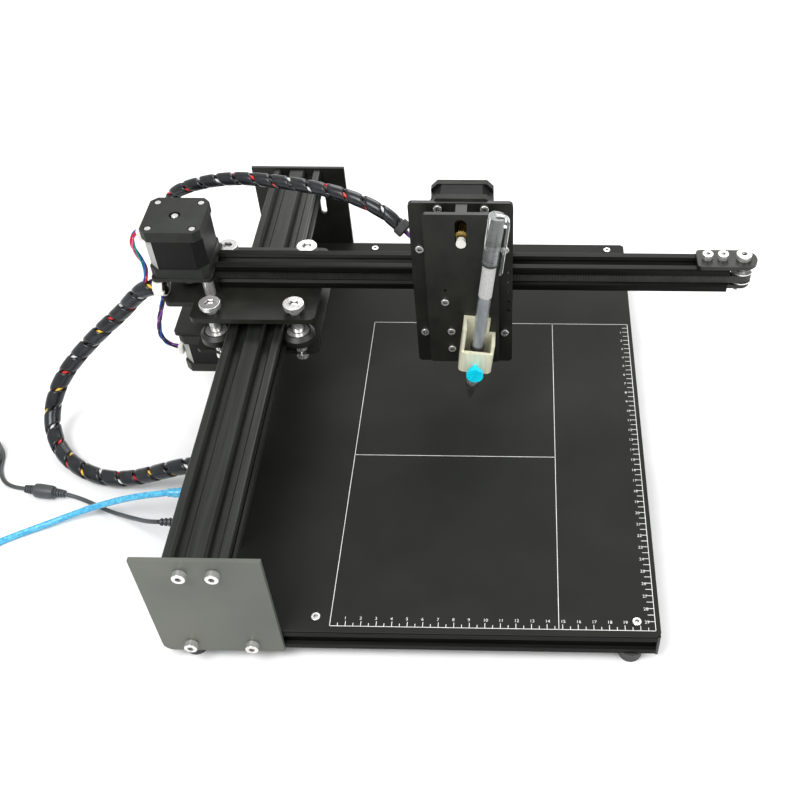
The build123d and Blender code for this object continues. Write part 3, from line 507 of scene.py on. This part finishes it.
def cord(name, body, route, diameter, finish, stand):
    points = [p(*place) for place in route]
    line = sampled(points)
    made = piece(name, route_curve(name, points, diameter / 2), body, finish)
    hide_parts(*stand)
    return made


def usb_cord():
    turns = coil_points(USB_COIL, (30.4, 25.6, 20.8), 2, USB_THICK, -1, 9)
    last = [(-323, 22, FLOOR + 12.5), (-327, 28, FLOOR + 14.3), (-327.8, 35, FLOOR + 14.5)]
    cord("usb_lead", "base", USB_ROUTE + turns + last, USB_THICK * MM, "blue_cable",
         ("usb_cable", "usb_coil"))


def ridged(start, end, count, low, high, first, last):
    """Points of a tapered strain relief with ridges round it."""
    points, step = [], (end - start) / count
    for i in range(count):
        grow = first + (last - first) * i / count
        points += [(start + i * step, low * grow), (start + (i + 0.15) * step, high * grow),
                   (start + (i + 0.6) * step, high * grow), (start + (i + 0.75) * step, low * grow)]
    return points


def dc_cord():
    turns = coil_points(DC_COIL, (21.0, 17.8, 14.6), 3, DC_THICK, 1, 11)
    last = [(-300, 181.5, FLOOR + 13), (-309, 184.6, FLOOR + 14.8), (-316.4, 181.5, FLOOR + 15.2),
            (-317.8, 174, FLOOR + 14.8)]
    start, end = p(*DC_ROUTE[BARREL_FROM]), p(*DC_ROUTE[BARREL_TO])
    long = (end - start).length / MM
    barrel = [(0, 0), (0, 2.0), *ridged(0, 8, 4, 2.1, 2.9, 1.0, 1.25), (8.2, 3.6), (9.0, 4.6), (11, 5.1),
              (20, 5.5), (23, 5.3), (24, 4.3), *ridged(24.4, long, 4, 2.1, 2.9, 1.25, 1.0),
              (long, 2.0), (long, 0)]
    inline = piece("inline_barrel", lathe("inline_barrel", start, end - start, barrel), "base",
                   "black_cable")
    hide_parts("inline_connector")
    relief = [(0, 0), (0, 2.8), (8, 2.8), (8, 4.8), (8.6, 5.0), (21.4, 5.0), (22, 4.6),
              *ridged(22.4, 37, 5, 2.5, 3.4, 1.0, 0.72), (37, 1.7), (37, 0)]
    turned = lathe("dc_strain_relief", p(*DC_PORT), Vector((-1, 0, 0)), relief)
    mould = piece("dc_strain_relief", turned, "base", "black_cable")
    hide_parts("dc_connector")
    cord("dc_lead", "base", DC_ROUTE + turns + last, DC_THICK * MM, "black_cable",
         ("dc_cable", "dc_coil"))


WRAP_COVER, ROWS_PER_TURN = 0.83, 40        # the share of a turn that the ribbon covers, its detail


def spiral(name, line, step, outer, pitch):
    """A ribbon of spiral wrap, one turn for each pitch along the line."""
    thick, across = 0.0008, 9
    rings = frames(line)
    rows = int((len(line) - 1) * step / pitch * ROWS_PER_TURN)
    spots, faces = [], []
    for i in range(rows + 1):
        middle = i / rows * (len(line) - 1.001)
        angle = 2 * math.pi * middle * step / pitch
        for layer in (outer, outer - thick):
            for k in range(across):
                share = k / (across - 1) - 0.5
                t = min(max(middle + share * WRAP_COVER * pitch / step, 0.0), len(line) - 1.001)
                n = int(t)
                side, up = rings[n]
                edge = 1 - 0.05 * abs(2 * share) ** 5
                out = side * math.cos(angle) + up * math.sin(angle)
                spots.append(line[n].lerp(line[n + 1], t - n) + out * layer * edge)
    strip = 2 * across
    for i in range(rows):
        a, b = i * strip, (i + 1) * strip
        for k in range(across - 1):
            faces.append((a + k, a + k + 1, b + k + 1, b + k))
            faces.append((a + across + k + 1, a + across + k, b + across + k, b + across + k + 1))
        faces.append((a + across, a, b, b + across))
        faces.append((a + across - 1, a + strip - 1, b + strip - 1, b + across - 1))
    mesh = bpy.data.meshes.new(name)
    mesh.from_pydata(spots, [], faces)
    return smooth(mesh)


def wires(name, line, step, tints, spread, thick, twist):
    """Several insulated wires twisted about one line, in one mesh with a finish for each."""
    mesh = bmesh.new()
    for i, tint in enumerate(tints):
        def section(n, i=i):
            angle = 2 * math.pi * (i / len(tints) + n * step / twist)
            a, b = spread * math.cos(angle), spread * math.sin(angle)
            return [(a + x, b + y) for x, y in circle(thick, 8)]
        first = len(mesh.faces)
        mesh.from_mesh(swept(name, line, section))
        mesh.faces.ensure_lookup_table()
        for face in mesh.faces[first:]:
            face.material_index = i
            face.smooth = True
    made = bpy.data.meshes.new(name)
    mesh.to_mesh(made)
    for tint in tints:
        made.materials.append(M["wire_" + tint])
    return made


def loom(name, route, node, radius, pitch, tints):
    """Coloured wires held in a black spiral wrap with gaps between its turns."""
    step = 0.0011
    points = [p(*place) for place in route]
    line = spaced(sampled(points), step)
    wrap = piece(name + "_wrap", spiral(name, line, step, radius, pitch), None, "wrap")
    inside = piece(name + "_wires", wires(name, line[::2], 2 * step, tints, radius * 0.62, radius * 0.26,
                                          0.07), None, None)
    core = piece(name + "_core", swept("core", line[::2], lambda n: circle(radius * 0.55, 12)), None,
                 "wrap")
    for made in (wrap, inside, core):
        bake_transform(made)
    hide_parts(node)


def lead(name, route, body, tints):
    """A motor's own short lead, a few bare wires from the motor to its loom."""
    step = 0.001
    points = [p(*place) for place in route]
    line = spaced(sampled(points), step)
    made = piece(name, wires(name, line, step, tints, 0.0011, 0.0007, 0.045), body, None)


WIRES = {
    "red": (0.6, 0.02, 0.02), "yellow": (0.8, 0.5, 0.06), "white": (0.72, 0.72, 0.7),
    "blue": (0.02, 0.08, 0.45), "green": (0.0, 0.32, 0.25), "black": (0.01, 0.01, 0.012),
    "purple": (0.25, 0.05, 0.4), "pink": (0.75, 0.1, 0.25),
}
M = finishes()
for tint, colour in WIRES.items():
    darker = [0.8 * c for c in colour]
    M["wire_" + tint] = surface("wire_" + tint, colour, darker, (0.25, 0.4), scale=200)

make_camera()
usb_cord()
dc_cord()
loom("base_loom", BASE_LOOM, "base_loom", 0.0062, 0.0165,
     ("red", "black", "yellow", "black", "black", "white", "black"))
loom("pen_loom", PEN_LOOM, "pen_loom", 0.0048, 0.0145,
     ("red", "black", "black", "white", "black", "black"))
lead("x_motor_lead", X_LEAD, "y_carriage", ("red", "blue", "green", "pink"))
lead("y_motor_lead", Y_LEAD, "y_carriage", ("blue", "black", "purple", "black"))
lead("pen_motor_lead", PEN_LEAD, "x_carriage", ("white", "purple", "black"))


# --- CAD finishes -----------------------------------------------------------------------------
USB_TIP_Y, DC_TIP_Y = 60.2, 144.2           # where each plug's metal begins


def motor_finish(name, axis, low, high, split):
    made = surface(name + "_finish", (0.018, 0.0192, 0.0165), (0.026, 0.0278, 0.0242), (0.34, 0.48), 0.0,
                   bump=0.14, fine=2200, Specular_IOR_Level=0.17)
    return laminated(made, axis, low, high, split)


def dress():
    # split: each motor's cut corners show bare steel only left of this line, a painted highlight on the
    # side the lamps light.
    for name, axis, cap, split in (("x_motor", "Z", 8.0, MOTOR_X), ("y_motor", "Z", 8.0, Y_MOTOR_X),
                                   ("z_motor", "Y", 5.0, 0.0)):
        low, high = (corner["XYZ".index(axis)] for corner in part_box(name))
        M[name] = motor_finish(name, axis, low + cap * MM, high - cap * MM, p(split, 0, 0).x)
        paint(name, name)
    blue = surface("blue_plug_finish", (0.02, 0.16, 0.6), (0.05, 0.3, 0.8), (0.2, 0.35))
    M["usb_plug"] = end_metal(blue, "Y", p(0, USB_TIP_Y, 0).y, True)
    black = surface("black_plug_finish", (0.02, 0.02, 0.02), (0.03, 0.03, 0.03), (0.4, 0.5))
    M["dc_plug"] = end_metal(black, "Y", p(0, DC_TIP_Y, 0).y, False)
    paint("bar_y", "y_beam")
    paint("bar_x", "x_arm", "cross_beams")
    paint("end_plate", "front_end_plate")
    paint("plate", "rear_end_plate", "y_carriage_plate", "y_motor_plate", "x_motor_plate",
          "idler_bracket", "x_carriage_plate", "x_rear_plate", "lift_plate")
    paint("bed", "bed_board")
    paint("plastic", "beam_end_caps", "control_box", "z_rack", *[n for n in nodes if "_wheel_" in n])
    paint("rubber", "rubber_feet")
    paint("steel", "frame_screws", "y_axles", "carriage_fasteners", "y_motor_pulley",
          "x_motor_pulley", "x_idler_pulley", "x_standoffs", "x_axles", "z_rail", "rail_block",
          "lift_plate_screws")
    paint("brass", "z_pinion")
    paint("champagne", "pen_holder")
    paint("blue", "thumb_screw")
    paint("nylon", "stop_bush")
    paint("belt", "x_belt", "y_belt", "y_belt_loop")
    paint("board", "controller_board")
    paint("clear", "pen_barrel", "pen_cap")
    paint("blue_cable", "usb_connector")
    paint("usb_plug", "usb_plug")
    paint("dc_plug", "dc_plug")


# --- details ----------------------------------------------------------------------------------
def bed_marks():
    """The printed sheet outlines, the ticks and the centimetre figures on the bed."""
    (wide, long), half, line, lift = SHEET, HALF_SHEET, 0.45, 0.05
    strips = [(0, 0, wide, line), (0, long - line, wide, long), (0, 0, line, long),
              (wide - line, 0, wide, long), (half - line, 0, half, long), (0, half, half, half + line)]
    tick, side_tick, long_tick, short_tick = 5.0, 4.2, 3.6, 2.2
    for n in range(1, 59):
        at = long - tick * n
        strips.append((wide - side_tick - line, at, wide - line, at + line))
    for n in range(1, 42):
        at, reach = tick * n, long_tick if n % 2 == 0 else short_tick
        strips.append((at, line, at + line, line + reach))
    verts, faces = [], []
    for x0, y0, x1, y1 in strips:
        faces.append(tuple(range(len(verts), len(verts) + 4)))
        verts += [p(x0, y0, lift), p(x1, y0, lift), p(x1, y1, lift), p(x0, y1, lift)]
    mesh = bpy.data.meshes.new("bed_marks")
    mesh.from_pydata(verts, [], faces)
    figures = [(str(n), 203.0, long - 10.0 * n - 1.3) for n in range(1, 30)]
    figures += [(str(n), 10.0 * n - 1.0, 5.2) for n in range(1, 20)]
    shapes = [mesh] + [figure(*entry, 3.2, lift) for entry in figures]
    piece("bed_marks", merged("bed_marks", shapes), "base", "white")


def figure(text, x, y, size, lift):
    curve = bpy.data.curves.new("figure", "FONT")
    curve.body = text
    curve.size = size * MM
    holder = bpy.data.objects.new("figure", curve)
    mesh = bpy.data.meshes.new_from_object(holder)
    mesh.transform(Matrix.Translation(p(x, y, lift)))
    bpy.data.objects.remove(holder)
    return mesh


def motor_screws():
    """Screws sunk in the X motor's rear cap, and the end of its shaft."""
    down = Vector((0, 0, -1))
    screw = [(-0.75, 0), (-0.75, 1.2), (-0.35, 1.25), (-0.3, 1.0), (-0.8, 0.95), (-0.8, 2.2),
             (-0.2, 2.5), (0.9, 2.5)]
    spots = [(MOTOR_X + i * SCREW_SPAN / 2, CAR_Y + k * SCREW_SPAN / 2)
             for i in (-1, 1) for k in (-1, 1)]
    shapes = [lathe("screw", p(x, y, X_MOTOR_TOP - 1.1), down, screw, 24) for x, y in spots]
    shaft = [(0, 0), (0, 2.2), (0.3, 2.5), (2.2, 2.5), (2.2, 3.9), (2.4, 3.9)]
    shapes.append(lathe("shaft", p(MOTOR_X, CAR_Y, X_MOTOR_TOP - 0.3), down, shaft, 28))
    piece("x_motor_screws", merged("x_motor_screws", shapes), "y_carriage", "steel")


def motor_sockets():
    """The white sockets that the motors' leads plug into."""
    left = MOTOR_X - MOTOR_HALF
    shell = [block((left - 3.6, 229, 131.5), (left, 243, 140.5), 0.6),
             block((left - 4.6, 230.2, 133.0), (left - 3.6, 241.8, 139.0), 0.3)]
    piece("x_motor_socket", merged("x_motor_socket", shell), "y_carriage", "nylon")
    shell = [block((-141.6, 226, 26.5), (-138.1, 240, 34.5), 0.6)]
    piece("y_motor_socket", merged("y_motor_socket", shell), "y_carriage", "nylon")
    shell = [block((57.0, 226.5, 144.0), (59.6, 238, 152.0), 0.5)]
    piece("pen_motor_socket", merged("pen_motor_socket", shell), "x_carriage", "nylon")


def loom_clip():
    """A nylon clip round the loom's end, screwed to the carriage plate."""
    start, end = p(-144, 227.6, 92.9), p(-135.5, 226.5, 93.5)
    ring = [(0, 6.25), (0, 7.0), (0.5, 7.3), (7.0, 7.3), (7.5, 7.0), (7.5, 6.25)]
    shapes = [lathe("ring", start, end - start, ring)]
    shapes.append(block((-143.5, 217.5, 91.6), (-136.5, 221.5, 93.4), 0.5))
    piece("loom_clip", merged("loom_clip", shapes), "y_carriage", "nylon")
    start, end = p(*PEN_LOOM[-2]), p(*PEN_LOOM[-1])
    ring = [(8, 4.3), (8, 5.6), (8.6, 6.1), (13.4, 6.1), (14, 5.6), (14, 4.3), (13.5, 3.0), (8, 3.0)]
    grommet = lathe("grommet", start, end - start, ring)
    piece("loom_end_sleeve", grommet, "x_carriage", "rubber")


def pen_parts():
    """What shows through and on the gel pen: refill, metal tip, collar, label and cap clip."""
    up = on_pen(1) - on_pen(0)

    def turned(name, base, profile, finish, slot):
        return piece(name, lathe(name, on_pen(base), up, profile), "pen", finish)

    turned("pen_refill", 15, [(0, 0), (0, 1.2), (6, 2.3), (103, 2.3), (103, 0)], "ink", "clear_plastic")
    turned("pen_tip", 0, [(0, 0.42), (2.6, 1.2), (3, 1.8), (13.6, 3.72), (14.2, 4.66), (17, 4.72),
                          (17.5, 4.62)], "chrome", "bright_steel")
    turned("pen_grip", 18, [(0, 4.62), (0.4, 4.9), *ridged(1, 27, 13, 4.72, 4.95, 1, 1), (27.4, 4.62)],
           "clear", "clear_plastic")
    turned("pen_collar", 51, [(0, 4.62), (0, 4.9), (0.4, 5.05), (3.4, 5.05), (3.8, 4.9), (3.8, 4.62)],
           "plastic", "black_plastic")
    turned("pen_label", 100, [(0, 4.61), (0.1, 4.7), (26.9, 4.7), (27, 4.61)], "label", "white_nylon")
    turned("pen_cap_rim", 127.6, [(0, 4.7), (0, 5.75), (0.6, 5.8), (1.2, 5.75), (1.4, 5.62)], "plastic",
           "black_plastic")
    spine = [(121.5, 9.2), (122.5, 8.9), (135, 8.95), (150, 8.95), (160, 8.9), (164, 8.2), (166.2, 6.0),
             (166.8, 2.6), (166.4, -0.5)]
    line = sampled([on_pen(along, side) for along, side in spine])
    strap = [(-1.6, -0.3), (1.6, -0.3), (1.8, 0.0), (1.6, 0.3), (-1.6, 0.3), (-1.8, 0.0)]
    clip = swept("pen_clip", line, lambda n: [(a * MM, b * MM) for a, b in strap])
    piece("pen_clip", clip, "pen", "chrome")


def belt_teeth():
    """The teeth inside the X belt's two runs, from the motor to where the arm hides them."""
    shapes, pitch, half_wide, hidden_from = [], 2, 3, -101
    for side in (-1, 1):
        y = CAR_Y + side * 6.35
        x = MOTOR_X + 10
        while x <= hidden_from:
            low, high = (x, y - 0.4, ARM_Z - half_wide), (x + 1, y + 0.4, ARM_Z + half_wide)
            shapes.append(block(low, high, 0.15))
            x += pitch
    piece("x_belt_teeth", merged("x_belt_teeth", shapes), "y_carriage", "belt")


bed_marks()
motor_screws()
motor_sockets()
loom_clip()
pen_parts()
belt_teeth()


# --- stage ------------------------------------------------------------------------------------
def stage():
    mesh = bpy.data.meshes.new("floor")
    mesh.from_pydata([(-4, -4, 0), (4, -4, 0), (4, 4, 0), (-4, 4, 0)], [], [(0, 1, 2, 3)])
    M["floor"] = surface("floor", (0.86, 0.86, 0.86), (0.88, 0.88, 0.88), (0.7, 0.8), bump=0.0)
    floor = piece("floor", mesh, None, "floor")
    world = bpy.data.worlds.new("world")
    bpy.context.scene.world = world
    world.use_nodes = True
    world.node_tree.nodes["Background"].inputs["Color"].default_value = (1, 1, 1, 1)
    world.node_tree.nodes["Background"].inputs["Strength"].default_value = 0.75
    for name, place, size, power in (
        ("key", (-0.5, -0.7, 1.3), 0.7, 16), ("fill", (1.0, -0.5, 0.9), 0.8, 7),
        ("back", (0.1, 1.1, 1.0), 0.9, 12),
    ):
        data = bpy.data.lights.new(name, "AREA")
        data.size = size
        data.energy = power
        lamp = bpy.data.objects.new(name, data)
        bpy.context.scene.collection.objects.link(lamp)
        lamp.location = place
        aim = Vector((0, 0, 0.05)) - Vector(place)
        lamp.rotation_euler = aim.to_track_quat("-Z", "Y").to_euler()
    bpy.context.scene.view_settings.view_transform = "Standard"


dress()
stage()
